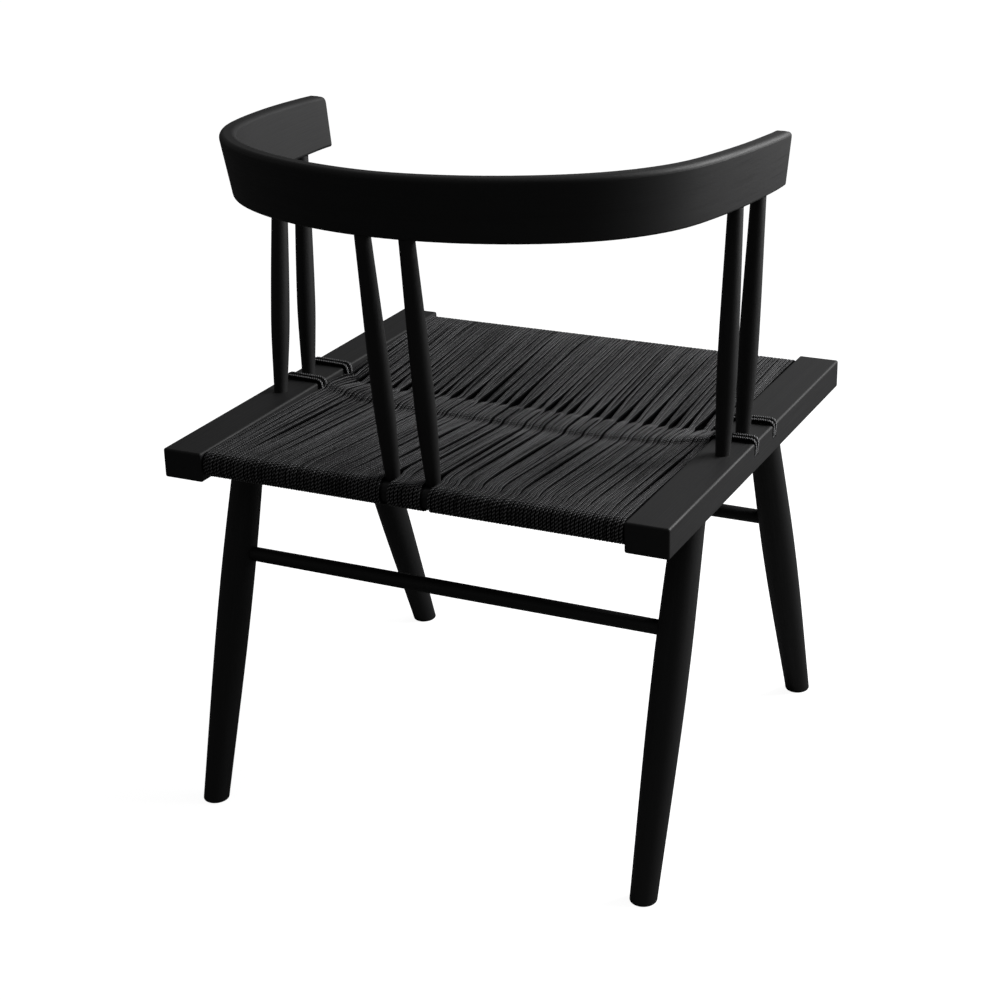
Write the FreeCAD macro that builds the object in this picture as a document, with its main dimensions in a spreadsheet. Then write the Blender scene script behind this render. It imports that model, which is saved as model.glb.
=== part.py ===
import FreeCAD, Part
import math
import os
import Sketcher

os.makedirs("parts", exist_ok=True)

# Dining armchair. +Z is up, the sitter faces -Y, and the origin lies on the floor
# under the middle of the chair's own box. Lengths are in millimetres, angles in degrees.
SIZES = {
    # whole chair
    "overall_width": 582,
    "overall_depth": 593,
    "seat_height": 428,
    # side rails
    "rail_length": 555,
    "rail_width": 47.5,
    "rail_thickness": 33,
    "rail_edge_radius": 2.5,
    # cross rails under the cord, with their tenons
    "cross_rail_height": 20,
    "cross_rail_depth": 40,
    "cross_rail_radius": 7,
    "cross_tenon_height": 12,
    "cross_tenon_depth": 30,
    "cross_tenon_length": 20,
    # seat cord wound round both cross rails
    "cord_dia": 4,
    "cord_clearance": 0.3,
    "cord_top_drop": 0.5,
    "front_wrap_setback": 7,
    "rear_wrap_setback": 1,
    "valley_ridge_height": 3,
    "valley_bend_radius": 60,
    # flat binder cords across the seat, measured from the front ends of the side rails
    "binder_width": 12.5,
    "binder_thickness": 4,
    "binder_bend_radius": 6,
    "front_binder_setback": 238,
    "rear_binder_setback": 298,
    "binder_groove_depth": 5,
    "binder_groove_height": 16,
    # turned legs
    "leg_foot_dia": 28.5,
    "leg_belly_dia": 38.5,
    "leg_top_dia": 34,
    "leg_belly_height": 270,
    "leg_tenon_dia": 24,
    "leg_tenon_length": 22,
    "leg_inset": 3.5,
    "front_leg_setback": 192.3,
    "front_leg_splay_angle": 22.7,
    "rear_leg_setback": 130.3,
    "rear_leg_splay_angle": 17.5,
    "foot_edge_radius": 2,
    # stretchers
    "stretcher_height": 274.5,
    "stretcher_end_dia": 16.3,
    "stretcher_belly_dia": 17.3,
    "stretcher_tenon_length": 18,
    # spindles
    "spindle_foot_dia": 15.5,
    "spindle_belly_dia": 21.5,
    "spindle_top_dia": 16.5,
    "spindle_belly_height": 90,
    "spindle_foot_tenon_dia": 12,
    "spindle_foot_tenon_length": 14,
    "spindle_top_tenon_dia": 10,
    "spindle_top_tenon_length": 18,
    "spindle_outset": 2.4,
    "front_spindle_setback": 282,
    "rear_spindle_setback": 345.4,
    "front_spindle_arm_distance": 58.3,
    "rear_spindle_arm_distance": 115.5,
    "back_spindle_foot_spacing": 47,
    "back_spindle_top_spacing": 50,
    # crest rail, bent in three arcs on each side of the middle
    "crest_arm_inset": 6.7,
    "crest_back_angle": 32.5,
    "crest_shoulder_radius": 204,
    "crest_shoulder_angle": 45,
    "crest_arm_radius": 850,
    "crest_arm_length": 196,
    "crest_thickness": 18,
    "crest_back_underside": 693,
    "crest_arm_underside": 684,
    "crest_back_height": 66.2,
    "crest_arm_height": 59.5,
    "crest_back_lean_angle": 13.6,
    "crest_arm_lean_angle": 5.6,
    "crest_top_radius": 5,
    "crest_bottom_radius": 3,
    "crest_end_radius": 9,
    # fit of every tenon in its mortise
    "joint_clearance": 0.1,
    "joint_end_gap": 0.5,
}
# The crest's top edge falls away to the arms along this power of the distance from the back.
CREST_FALL_POWER = 1.5
# Sections of the crest rail from one arm end to the other.
CREST_SECTIONS = 25

doc = FreeCAD.newDocument("dining_armchair")
sheet = doc.addObject("Spreadsheet::Sheet", "Sizes")
for row, (alias, value) in enumerate(SIZES.items(), start=1):
    sheet.set(f"A{row}", alias)
    sheet.set(f"B{row}", str(value))
    sheet.setAlias(f"B{row}", alias)
doc.recompute()


def size(alias):
    """The value of one driving dimension."""
    return float(sheet.get(alias))


def vec(x, y, z):
    return FreeCAD.Vector(x, y, z)


UP = vec(0, 0, 1)
nodes = {}


# Places that several pieces share.
rail_front = -size("overall_depth") / 2
rail_rear = rail_front + size("rail_length")
rail_outer = size("overall_width") / 2
rail_inner = rail_outer - size("rail_width")
rail_axis = rail_outer - size("rail_width") / 2
leg_x = rail_axis - size("leg_inset")
spindle_x = rail_axis + size("spindle_outset")
rail_top = size("seat_height")
rail_under = rail_top - size("rail_thickness")
cord_top = rail_top - size("cord_top_drop")
cross_top = cord_top - size("cord_dia")
cross_under = cross_top - size("cross_rail_height")
front_wrap = rail_front + size("front_wrap_setback")
rear_wrap = rail_rear - size("rear_wrap_setback")
front_cross_y = front_wrap + size("cord_dia") + size("cross_rail_depth") / 2
rear_cross_y = rear_wrap - size("cord_dia") - size("cross_rail_depth") / 2
binder_y = {
    "front": rail_front + size("front_binder_setback"),
    "rear": rail_front + size("rear_binder_setback"),
}
# Length by which turned pieces and cutters run past the faces that trim them.
overrun = size("leg_top_dia") / 2
reach = 2 * size("overall_width")


def box(name, corner, length, width, height):
    """A plain block; each extent is an expression over the sheet or a number."""
    solid = doc.addObject("Part::Box", name)
    for prop, extent in (("Length", length), ("Width", width), ("Height", height)):
        if isinstance(extent, str):
            solid.setExpression(prop, extent)
        else:
            setattr(solid, prop, extent)
    solid.Placement = FreeCAD.Placement(corner, FreeCAD.Rotation())
    return solid


def rod(name, start, direction, radius, height):
    """A cylinder from a point along a direction; its radius is an expression over the sheet."""
    solid = doc.addObject("Part::Cylinder", name)
    solid.setExpression("Radius", radius)
    solid.Height = height
    solid.Placement = FreeCAD.Placement(start, FreeCAD.Rotation(UP, direction))
    return solid


def fused(name, pieces):
    solid = doc.addObject("Part::MultiFuse", name)
    solid.Shapes = pieces
    return solid


def trimmed(name, base, tools):
    """The base without the tools."""
    solid = doc.addObject("Part::Cut", name)
    solid.Base = base
    solid.Tool = tools[0] if len(tools) == 1 else fused(name + "_tools", tools)
    return solid


def rounded(name, base, radius, wanted):
    """Fillet the edges of a block that the given test picks."""
    doc.recompute()
    picked = [i for i, edge in enumerate(base.Shape.Edges, start=1) if wanted(edge)]
    solid = doc.addObject("Part::Fillet", name)
    solid.Base = base
    solid.Edges = [(i, radius, radius) for i in picked]
    return solid


def feature(name, shape):
    solid = doc.addObject("Part::Feature", name)
    solid.Shape = shape
    return solid


def runs_along(axis):
    """Test for a straight edge along one axis, 0 for X, 1 for Y and 2 for Z."""
    return lambda edge: abs(abs(edge.tangentAt(edge.FirstParameter)[axis]) - 1) < 1e-6


def turned(name, foot, belly, top, belly_height, length, stub, start, direction):
    """A piece turned on a lathe: two curves that meet at the belly, with a straight stub at each end.

    foot, belly and top name the diameters in the sheet; the heights run along the axis from start.
    """
    body = doc.addObject("PartDesign::Body", name)
    plane = next(f for f in body.Origin.OriginFeatures if f.Role == "XZ_Plane")
    sketch = body.newObject("Sketcher::SketchObject", name + "_profile")
    sketch.AttachmentSupport = [(plane, "")]
    sketch.MapMode = "FlatFace"
    r_foot, r_belly, r_top = (size(alias) / 2 for alias in (foot, belly, top))

    def swell(*poles):
        """A plain curve that leaves the belly along the axis."""
        curve = Part.BezierCurve()
        curve.setPoles([vec(radius, height, 0) for radius, height in poles])
        return curve.toBSpline()

    corners = {
        "foot_axis": vec(0, -stub, 0),
        "foot_end": vec(r_foot, -stub, 0),
        "foot": vec(r_foot, 0, 0),
        "top": vec(r_top, length, 0),
        "top_end": vec(r_top, length + stub, 0),
        "top_axis": vec(0, length + stub, 0),
    }
    sole, foot_side, lower, upper, top_side, head, axis = range(7)
    sketch.addGeometry(Part.LineSegment(corners["foot_axis"], corners["foot_end"]))
    sketch.addGeometry(Part.LineSegment(corners["foot_end"], corners["foot"]))
    lower_third = belly_height / 3
    sketch.addGeometry(
        swell(
            (r_foot, 0),
            (r_foot + (r_belly - r_foot) / 3, lower_third),
            (r_belly, 2 * lower_third),
            (r_belly, belly_height),
        )
    )
    upper_third = (length - belly_height) / 3
    sketch.addGeometry(
        swell(
            (r_belly, belly_height),
            (r_belly, belly_height + upper_third),
            (r_top + (r_belly - r_top) / 3, length - upper_third),
            (r_top, length),
        )
    )
    sketch.addGeometry(Part.LineSegment(corners["top"], corners["top_end"]))
    sketch.addGeometry(Part.LineSegment(corners["top_end"], corners["top_axis"]))
    sketch.addGeometry(Part.LineSegment(corners["top_axis"], corners["foot_axis"]))
    outline = [sole, foot_side, lower, upper, top_side, head, axis]
    for here, following in zip(outline, outline[1:] + outline[:1]):
        sketch.addConstraint(Sketcher.Constraint("Coincident", here, 2, following, 1))
    for line in (sole, head):
        sketch.addConstraint(Sketcher.Constraint("Horizontal", line))
    for line in (foot_side, top_side):
        sketch.addConstraint(Sketcher.Constraint("Vertical", line))
    sketch.addConstraint(Sketcher.Constraint("PointOnObject", axis, 1, -2))
    sketch.addConstraint(Sketcher.Constraint("PointOnObject", axis, 2, -2))
    sketch.addConstraint(Sketcher.Constraint("PointOnObject", foot_side, 2, -1))
    sketch.addConstraint(Sketcher.Constraint("DistanceY", sole, 2, -1, 1, stub))
    sketch.addConstraint(Sketcher.Constraint("DistanceY", -1, 1, lower, 2, belly_height))
    sketch.addConstraint(Sketcher.Constraint("DistanceY", -1, 1, top_side, 1, length))
    sketch.addConstraint(Sketcher.Constraint("DistanceY", -1, 1, head, 1, length + stub))
    radii = (("at_foot", foot_side, 2, foot), ("at_belly", lower, 2, belly), ("at_top", top_side, 1, top))
    for label, line, end, alias in radii:
        index = sketch.addConstraint(Sketcher.Constraint("DistanceX", -1, 1, line, end, size(alias) / 2))
        sketch.renameConstraint(index, label)
        sketch.setExpression(f"Constraints.{label}", f"Sizes.{alias} / 2")
    spin = body.newObject("PartDesign::Revolution", name + "_turning")
    spin.Profile = sketch
    spin.ReferenceAxis = (sketch, ["V_Axis"])
    spin.Angle = 360
    body.Placement = FreeCAD.Placement(start, FreeCAD.Rotation(UP, direction))
    return body


# Crest rail: its underside lies in one sloping plane, its outer lower edge follows three arcs.
# The back's radius follows from the width, so that the arms stay over the side rails.
back_turn = math.radians(size("crest_back_angle"))
shoulder_turn = math.radians(size("crest_shoulder_angle"))
arm_turn = size("crest_arm_length") / size("crest_arm_radius")
shoulder_heading = back_turn + shoulder_turn
shoulder_width = size("crest_shoulder_radius") * (math.sin(shoulder_heading) - math.sin(back_turn))
arm_width = size("crest_arm_radius") * (math.sin(shoulder_heading + arm_turn) - math.sin(shoulder_heading))
back_width = rail_outer - size("crest_arm_inset") - shoulder_width - arm_width
crest_back_radius = back_width / math.sin(back_turn)
back_length = crest_back_radius * back_turn
shoulder_length = size("crest_shoulder_radius") * shoulder_turn
crest_half_length = back_length + shoulder_length + size("crest_arm_length")
back_lean = math.radians(size("crest_back_lean_angle"))
# The rounded top edge reaches this far behind the outer lower edge at the middle of the back.
back_overhang = size("crest_back_height") * math.tan(back_lean) - size("crest_top_radius") * (
    math.tan(back_lean) + 1 / math.cos(back_lean) - 1
)
crest_back_y = size("overall_depth") / 2 - back_overhang


def crest_plan(distance):
    """Point and outward normal of the outer lower edge, at a distance from the middle of the back."""
    left = abs(distance)
    x, y, heading = 0.0, crest_back_y, 0.0
    for radius, length in (
        (crest_back_radius, back_length),
        (size("crest_shoulder_radius"), shoulder_length),
        (size("crest_arm_radius"), size("crest_arm_length")),
    ):
        turn = min(left, length) / radius
        x += radius * (math.sin(heading + turn) - math.sin(heading))
        y -= radius * (math.cos(heading) - math.cos(heading + turn))
        heading += turn
        left -= min(left, length)
    side = 1 if distance >= 0 else -1
    return vec(side * x, y, 0), vec(side * math.sin(heading), math.cos(heading), 0)


arm_end_y = crest_plan(crest_half_length)[0].y
underside_slope = (size("crest_back_underside") - size("crest_arm_underside")) / (crest_back_y - arm_end_y)
back_top = size("crest_back_underside") + size("crest_back_height")
arm_top = size("crest_arm_underside") + size("crest_arm_height")


def crest_underside(y):
    return size("crest_arm_underside") + underside_slope * (y - arm_end_y)


def rounded_outline(corners, radii):
    """A closed wire through the corners, each rounded by its own radius."""
    edges = []
    last = None
    first = None
    count = len(corners)
    for i, (corner, radius) in enumerate(zip(corners, radii)):
        before = (corners[i - 1] - corner).normalize()
        after = (corners[(i + 1) % count] - corner).normalize()
        half = before.getAngle(after) / 2
        enter = corner + before * (radius / math.tan(half))
        leave = corner + after * (radius / math.tan(half))
        middle = corner + (before + after).normalize() * (radius / math.sin(half) - radius)
        if last is not None:
            edges.append(Part.LineSegment(last, enter).toShape())
        else:
            first = enter
        edges.append(Part.Arc(enter, middle, leave).toShape())
        last = leave
    edges.append(Part.LineSegment(last, first).toShape())
    return Part.Wire(edges)


def crest_section(distance):
    """The rail's section: level top and bottom, sides that lean outwards."""
    foot, normal = crest_plan(distance)
    share = abs(distance) / crest_half_length
    arm_lean = math.radians(size("crest_arm_lean_angle"))
    lean = back_lean + share * (arm_lean - back_lean)
    fall = ((crest_back_y - foot.y) / (crest_back_y - arm_end_y)) ** CREST_FALL_POWER
    top = back_top + fall * (arm_top - back_top)
    thickness = normal * size("crest_thickness")
    inner = foot - thickness
    flare = normal * ((top - crest_underside(foot.y)) * math.tan(lean))
    corners = [
        foot + UP * crest_underside(foot.y),
        foot + flare + UP * top,
        foot + flare - thickness + UP * top,
        inner + UP * crest_underside(inner.y),
    ]
    soft_top, soft_bottom = size("crest_top_radius"), size("crest_bottom_radius")
    return rounded_outline(corners, [soft_bottom, soft_top, soft_top, soft_bottom])


def crest_seat(distance):
    """Middle of the crest's underside, where a spindle stands under it."""
    foot, normal = crest_plan(distance)
    point = foot - normal * (size("crest_thickness") / 2)
    return vec(point.x, point.y, crest_underside(point.y))


def arm_end_corner(name, side):
    """What is cut away to round the top corner of one arm's end."""
    radius = size("crest_end_radius")
    end, normal = crest_plan(side * crest_half_length)
    ahead = vec(side * normal.y, -side * normal.x, 0)
    corner = end - normal * (2 * size("crest_thickness")) + UP * arm_top
    across = normal * (4 * size("crest_thickness"))
    spill = ahead * radius + UP * radius
    inset = corner - ahead * radius - UP * radius
    rim = Part.Wire(
        [
            Part.LineSegment(corner - ahead * radius + UP * radius, corner + spill).toShape(),
            Part.LineSegment(corner + spill, corner + ahead * radius - UP * radius).toShape(),
            Part.LineSegment(corner + ahead * radius - UP * radius, corner - UP * radius).toShape(),
            Part.Arc(
                corner - UP * radius,
                inset + (ahead + UP).normalize() * radius,
                corner - ahead * radius,
            ).toShape(),
            Part.LineSegment(corner - ahead * radius, corner - ahead * radius + UP * radius).toShape(),
        ]
    )
    return feature(name, Part.Face(rim).extrude(across))


stations = [
    crest_half_length * (2 * i / (CREST_SECTIONS - 1) - 1) for i in range(CREST_SECTIONS)
]
crest_blank = feature("crest_blank", Part.makeLoft([crest_section(s) for s in stations], True, False))
crest_shaped = trimmed(
    "crest_shaped",
    crest_blank,
    [arm_end_corner("left_arm_corner", 1), arm_end_corner("right_arm_corner", -1)],
)


# Blocks that trim the spindles to the faces they stand on and under.
slope_angle = math.degrees(math.atan(underside_slope))
above_crest = box("above_crest", vec(-reach / 2, 0, 0), reach, reach, reach)
above_crest.Placement = FreeCAD.Placement(
    vec(-reach / 2, arm_end_y, size("crest_arm_underside")),
    FreeCAD.Rotation(vec(1, 0, 0), slope_angle),
) * FreeCAD.Placement(vec(0, -reach / 2, 0), FreeCAD.Rotation())
below_rail = box("below_rail", vec(-reach / 2, -reach / 2, rail_top - reach), reach, reach, reach)
below_cross = box("below_cross", vec(-reach / 2, -reach / 2, cross_top - reach), reach, reach, reach)
side_trim = fused("side_trim", [above_crest, below_rail])
back_trim = fused("back_trim", [above_crest, below_cross])

crest_mortises = []
rail_mortises = {"left": [], "right": []}
cross_mortises = []


def spindle(name, foot, head, trim, foot_mortises):
    """A turned spindle with a round tenon at each end, and the mortises that it needs."""
    axis = (head - foot).normalize()
    length = (head - foot).Length
    blank = turned(
        name + "_turned",
        "spindle_foot_dia",
        "spindle_belly_dia",
        "spindle_top_dia",
        size("spindle_belly_height"),
        length,
        overrun,
        foot,
        axis,
    )
    shaft = trimmed(name + "_shaft", blank, [trim])
    foot_length = size("spindle_foot_tenon_length")
    head_length = size("spindle_top_tenon_length")
    gap = size("joint_end_gap")
    foot_radius = "Sizes.spindle_foot_tenon_dia / 2"
    head_radius = "Sizes.spindle_top_tenon_dia / 2"
    loose = " + Sizes.joint_clearance"
    foot_tenon = rod(name + "_foot_tenon", foot - axis * foot_length, axis, foot_radius, 2 * foot_length)
    head_start = head - axis * head_length
    head_tenon = rod(name + "_head_tenon", head_start, axis, head_radius, 2 * head_length)
    foot_start = foot - axis * (foot_length + gap)
    foot_mortises.append(
        rod(name + "_foot_mortise", foot_start, axis, foot_radius + loose, 2 * foot_length)
    )
    crest_mortises.append(
        rod(name + "_head_mortise", head_start, axis, head_radius + loose, 2 * head_length + gap)
    )
    nodes[name] = fused(name, [shaft, foot_tenon, head_tenon])


for side, sign in (("left", 1), ("right", -1)):
    for place in ("front", "rear"):
        spindle(
            f"{side}_{place}_spindle",
            vec(sign * spindle_x, rail_front + size(f"{place}_spindle_setback"), rail_top),
            crest_seat(sign * (crest_half_length - size(f"{place}_spindle_arm_distance"))),
            side_trim,
            rail_mortises[side],
        )
    spindle(
        f"back_{side}_spindle",
        vec(sign * size("back_spindle_foot_spacing") / 2, rear_cross_y, cross_top),
        crest_seat(sign * size("back_spindle_top_spacing") / 2),
        back_trim,
        cross_mortises,
    )
nodes["crest_rail"] = trimmed("crest_rail", crest_shaped, crest_mortises)


# Legs: turned, trimmed level at the floor and under the side rail, with a round tenon on top.
below_floor = box("below_floor", vec(-reach / 2, -reach / 2, -reach), reach, reach, reach)
above_underside = box("above_underside", vec(-reach / 2, -reach / 2, rail_under), reach, reach, reach)
stretcher_end = leg_x - size("leg_belly_dia") / 2 + size("stretcher_tenon_length")


def leg_axis(place):
    """Point under the rail and upward direction of a leg of the front or rear pair, in the rail's plane."""
    setback = size(f"{place}_leg_setback")
    lean = math.radians(size(f"{place}_leg_splay_angle"))
    if place == "front":
        return rail_front + setback, vec(0, math.sin(lean), math.cos(lean))
    return rail_rear - setback, vec(0, -math.sin(lean), math.cos(lean))


def leg(place, side, sign):
    name = f"{place}_{side}_leg"
    y, axis = leg_axis(place)
    shoulder = vec(sign * leg_x, y, rail_under)
    # The blank runs on below the floor, and is then cut level with it.
    length = rail_under / axis.z + overrun
    blank = turned(
        name + "_turned",
        "leg_foot_dia",
        "leg_belly_dia",
        "leg_top_dia",
        size("leg_belly_height"),
        length,
        overrun,
        shoulder - axis * length,
        axis,
    )
    bore = rod(
        name + "_bore",
        vec(0, leg_y_at(place, size("stretcher_height")), size("stretcher_height")),
        vec(sign, 0, 0),
        "Sizes.stretcher_end_dia / 2 + Sizes.joint_clearance",
        stretcher_end + size("joint_end_gap"),
    )
    shaft = trimmed(name + "_shaft", blank, [bore, below_floor, above_underside])
    tenon_length = size("leg_tenon_length")
    radius = "Sizes.leg_tenon_dia / 2"
    tenon = rod(name + "_tenon", shoulder - axis * tenon_length, axis, radius, 2 * tenon_length)
    mortise_length = 2 * tenon_length + size("joint_end_gap")
    rail_mortises[side].append(
        rod(
            name + "_mortise",
            shoulder - axis * tenon_length,
            axis,
            radius + " + Sizes.joint_clearance",
            mortise_length,
        )
    )
    whole = fused(name + "_whole", [shaft, tenon])
    nodes[name] = rounded(name, whole, size("foot_edge_radius"), lies_on_floor)


def leg_y_at(place, height):
    """Where a leg's axis passes a height."""
    y, axis = leg_axis(place)
    return y - (rail_under - height) * axis.y / axis.z


def lies_on_floor(edge):
    return edge.BoundBox.ZMax < size("joint_clearance")


for place in ("front", "rear"):
    for side, sign in (("left", 1), ("right", -1)):
        leg(place, side, sign)
    span = leg_x - size("leg_belly_dia") / 2
    name = f"{place}_stretcher"
    height = size("stretcher_height")
    nodes[name] = turned(
        name,
        "stretcher_end_dia",
        "stretcher_belly_dia",
        "stretcher_end_dia",
        span,
        2 * span,
        size("stretcher_tenon_length"),
        vec(-span, leg_y_at(place, height), height),
        vec(1, 0, 0),
    )


# Cross rails with a flat tenon at each end.
cross_tenon_reach = rail_inner + size("cross_tenon_length")


def cross_rail(name, y, mortises):
    bar = box(
        name + "_bar",
        vec(-rail_inner, y - size("cross_rail_depth") / 2, cross_under),
        "Sizes.overall_width - 2 * Sizes.rail_width",
        "Sizes.cross_rail_depth",
        "Sizes.cross_rail_height",
    )
    soft = rounded(name + "_soft", bar, size("cross_rail_radius"), runs_along(0))
    half_depth = size("cross_tenon_depth") / 2
    middle = (cross_top + cross_under) / 2
    half_height = size("cross_tenon_height") / 2
    tenon = box(
        name + "_tenon",
        vec(-cross_tenon_reach, y - half_depth, middle - half_height),
        "Sizes.overall_width - 2 * Sizes.rail_width + 2 * Sizes.cross_tenon_length",
        "Sizes.cross_tenon_depth",
        "Sizes.cross_tenon_height",
    )
    loose = size("joint_clearance")
    end = cross_tenon_reach + size("joint_end_gap")
    for side in rail_mortises:
        rail_mortises[side].append(
            box(
                f"{name}_{side}_mortise",
                vec(-end, y - half_depth - loose, middle - half_height - loose),
                2 * end,
                "Sizes.cross_tenon_depth + 2 * Sizes.joint_clearance",
                "Sizes.cross_tenon_height + 2 * Sizes.joint_clearance",
            )
        )
    whole = fused(name + "_whole" if mortises else name, [soft, tenon])
    nodes[name] = trimmed(name, whole, mortises) if mortises else whole


cross_rail("front_cross_rail", front_cross_y, [])
cross_rail("rear_cross_rail", rear_cross_y, cross_mortises)


# Binder cords: flat bundles that run between the bottom and top turns, over both side rails, down a
# groove in the outer face and through a slanting slot to the rail's underside.
inside_drop = size("cord_dia") - size("cord_clearance")
binder_run = cross_under + size("binder_thickness") / 2
over_rail = rail_top + size("cord_clearance") + size("binder_thickness") / 2
groove_floor = rail_outer - size("binder_groove_depth")
groove_line = groove_floor + size("cord_clearance") + size("binder_thickness") / 2
groove_end = rail_top - size("binder_groove_height")
slot_exit = rail_under - overrun


def smooth_path(points, radius):
    """Straight runs joined by tangent arcs."""
    edges = []
    last = points[0]
    for before, corner, after in zip(points, points[1:], points[2:]):
        back = (before - corner).normalize()
        ahead = (after - corner).normalize()
        half = back.getAngle(ahead) / 2
        enter = corner + back * (radius / math.tan(half))
        leave = corner + ahead * (radius / math.tan(half))
        middle = corner + (back + ahead).normalize() * (radius / math.sin(half) - radius)
        edges.append(Part.LineSegment(last, enter).toShape())
        edges.append(Part.Arc(enter, middle, leave).toShape())
        last = leave
    edges.append(Part.LineSegment(last, points[-1]).toShape())
    return Part.Wire(edges)


def flat_section(start, direction, width, thickness, corner_radius):
    """Section of a flat cord, square to its path, with its width along Y."""
    along_y = vec(0, width / 2, 0)
    across = direction.cross(vec(0, 1, 0)).normalize() * (thickness / 2)
    corners = [
        start + along_y + across,
        start - along_y + across,
        start - along_y - across,
        start + along_y - across,
    ]
    return rounded_outline(corners, [corner_radius] * len(corners))


def flat_cord(points, extra):
    """A flat cord along the points, grown on every side by the extra."""
    path = smooth_path(points, size("binder_bend_radius"))
    width = size("binder_width") + 2 * extra
    thickness = size("binder_thickness") + 2 * extra
    section = flat_section(points[0], points[1] - points[0], width, thickness, thickness / 3)
    return path.makePipeShell([section], True, False)


def binder_half(place, sign):
    """Route from the rail's underside up over the rail and down to the run under the cords."""
    y = binder_y[place]
    dive = rail_inner - (over_rail - binder_run)
    return [
        vec(sign * (groove_line - (groove_end - slot_exit)), y, slot_exit),
        vec(sign * groove_line, y, groove_end),
        vec(sign * groove_line, y, over_rail),
        vec(sign * rail_inner, y, over_rail),
        vec(sign * dive, y, binder_run),
    ]


below_underside = box(
    "below_underside", vec(-reach / 2, -reach / 2, rail_under - reach), reach, reach, reach
)
slot_width = "Sizes.binder_width + 2 * Sizes.cord_clearance"
dive_slots = []
for place in ("front", "rear"):
    left_half = binder_half(place, 1)
    route = left_half + binder_half(place, -1)[::-1]
    cord_blank = feature(f"{place}_binder_blank", flat_cord(route, 0))
    nodes[f"{place}_binder_cord"] = trimmed(f"{place}_binder_cord", cord_blank, [below_underside])
    slot_y = binder_y[place] - size("binder_width") / 2 - size("cord_clearance")
    for side, sign in (("left", 1), ("right", -1)):
        slot_route = binder_half(place, sign)
        rail_mortises[side].append(
            feature(f"{place}_{side}_binder_slot", flat_cord(slot_route, size("cord_clearance")))
        )
        rail_mortises[side].append(
            box(
                f"{place}_{side}_groove",
                vec(min(sign * groove_floor, sign * (rail_outer + overrun)), slot_y, groove_end),
                rail_outer + overrun - groove_floor,
                slot_width,
                reach,
            )
        )
        dive = slot_route[-1]
        mouth = rail_inner - abs(dive.x) + size("binder_bend_radius")
        dive_slots.append(
            box(
                f"{place}_{side}_dive_slot",
                vec(min(sign * (rail_inner - mouth), sign * rail_inner), slot_y, binder_run),
                mouth,
                slot_width,
                reach,
            )
        )


# Side rails with all their mortises, grooves and slots.
for side, sign in (("left", 1), ("right", -1)):
    name = f"{side}_side_rail"
    bar = box(
        name + "_bar",
        vec(min(sign * rail_inner, sign * rail_outer), rail_front, rail_under),
        "Sizes.rail_width",
        "Sizes.rail_length",
        "Sizes.rail_thickness",
    )
    soft = rounded(name + "_soft", bar, size("rail_edge_radius"), lambda edge: True)
    nodes[name] = trimmed(name, soft, rail_mortises[side])


# Seat cord: the closed sleeve that the turns make round both cross rails. The top turns are drawn
# down onto the binders, so the seat is hollow between the rails.
valley_floor = cross_under + size("binder_thickness") + size("cord_clearance") + inside_drop


def sleeve_outline(inset):
    """Outline of the winding in the YZ plane, a distance inside its outer face."""
    low_y, high_y = front_wrap + inset, rear_wrap - inset
    low, high = cross_under - size("cord_dia") + inset, cord_top - inset
    floor = valley_floor - inset
    wrap_radius = size("cross_rail_radius") + size("cord_dia") - inset
    soft_radius = size("valley_bend_radius")
    profile = [
        (low_y, low, wrap_radius),
        (low_y, high, wrap_radius),
        (front_cross_y + size("cross_rail_depth") / 2, high, soft_radius),
        (binder_y["front"], floor, soft_radius),
        ((binder_y["front"] + binder_y["rear"]) / 2, floor + size("valley_ridge_height"), soft_radius),
        (binder_y["rear"], floor, soft_radius),
        (rear_cross_y - size("cross_rail_depth") / 2, high, soft_radius),
        (high_y, high, wrap_radius),
        (high_y, low, wrap_radius),
    ]
    corners = [vec(0, y, z) for y, z, radius in profile]
    return rounded_outline(corners, [radius for y, z, radius in profile])


half_seat = rail_inner - size("cord_clearance")
outer_block = Part.Face(sleeve_outline(0)).extrude(vec(2 * half_seat, 0, 0))
inner_block = Part.Face(sleeve_outline(inside_drop)).extrude(vec(2 * half_seat, 0, 0))
for block in (outer_block, inner_block):
    block.translate(vec(-half_seat, 0, 0))
sleeve = feature("seat_sleeve", outer_block.cut(inner_block))
# The turns part round the back spindles and leave the rail bare behind them.
partings = []
for side, sign in (("left", 1), ("right", -1)):
    gap = size("spindle_foot_dia") / 2 + size("cord_clearance")
    partings.append(
        box(
            f"{side}_parting",
            vec(sign * size("back_spindle_foot_spacing") / 2 - gap, rear_cross_y - gap, cross_under),
            "Sizes.spindle_foot_dia + 2 * Sizes.cord_clearance",
            reach,
            reach,
        )
    )
nodes["seat_cord"] = trimmed("seat_cord", sleeve, dive_slots + partings)


doc.recompute()
for item in doc.Objects:
    if "Invalid" in item.State or "Error" in item.State:
        raise RuntimeError(f"{item.Name} failed: {item.State}")
for name, item in nodes.items():
    item.Label = name
    shape = item.Shape
    if shape.isNull() or not shape.isValid():
        raise RuntimeError(f"{name} has no valid shape")
    if len(shape.Solids) != 1:
        raise RuntimeError(f"{name} is {len(shape.Solids)} solids")
    shape.exportStep(f"parts/{name}.step")
    extent = shape.BoundBox
    print(f"{name}: {shape.Volume / 1000:.1f} cm3, x {extent.XMin:.1f} to {extent.XMax:.1f},"
          f" y {extent.YMin:.1f} to {extent.YMax:.1f}, z {extent.ZMin:.1f} to {extent.ZMax:.1f}")
print(f"{len(nodes)} pieces")
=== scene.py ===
# %% [markdown]
# # Dining armchair with a wound cord seat
# The frame of this chair is black-stained wood: two side rails, turned legs and spindles, and one
# bent crest rail. Those pieces come from the CAD model and only get a finish here. The seat and its
# two binder cords are twisted paper cord, which CAD holds as a plain sleeve and two bands. A pattern
# painted on that sleeve would look flat from the side, so the cords are laid here one by one.

# %% Load the frame
import math

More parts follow.
